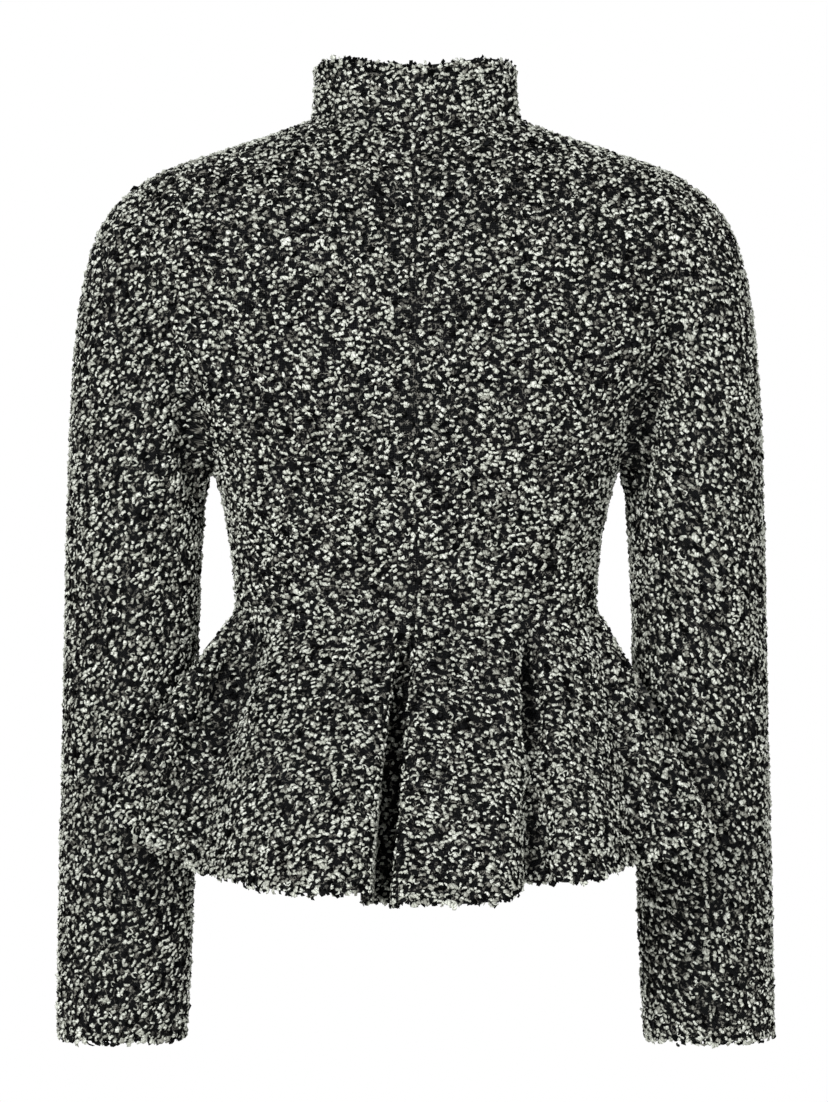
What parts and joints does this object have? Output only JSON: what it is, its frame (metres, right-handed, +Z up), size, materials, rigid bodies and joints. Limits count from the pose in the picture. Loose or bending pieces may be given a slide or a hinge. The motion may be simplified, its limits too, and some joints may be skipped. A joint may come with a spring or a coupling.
{
  "type": "peplum blazer",
  "caption": "Fitted bouclé tweed jacket with a stand collar, long two-piece sleeves, a waist seam and a fluted peplum with raw frayed edges, filled out and hollow.",
  "frame": {"origin": "middle of the neck base, level with the points where the shoulder seams meet the collar", "axes": "+X towards the wearer's left, -Y towards the front, +Z up"},
  "size_m": [0.554, 0.3794, 0.7468],
  "materials": {
    "boucle": "thick curled black and off-white wool loops, matt"
  },
  "bodies": {
    "root": {"back_left": "boucle", "back_right": "boucle", "front_left": "boucle", "front_right": "boucle", "sleeve_top_left": "boucle", "sleeve_under_left": "boucle", "sleeve_top_right": "boucle", "sleeve_under_right": "boucle", "collar": "boucle", "peplum_back": "boucle", "peplum_front_left": "boucle", "peplum_front_right": "boucle"}
  },
  "joints": []
}
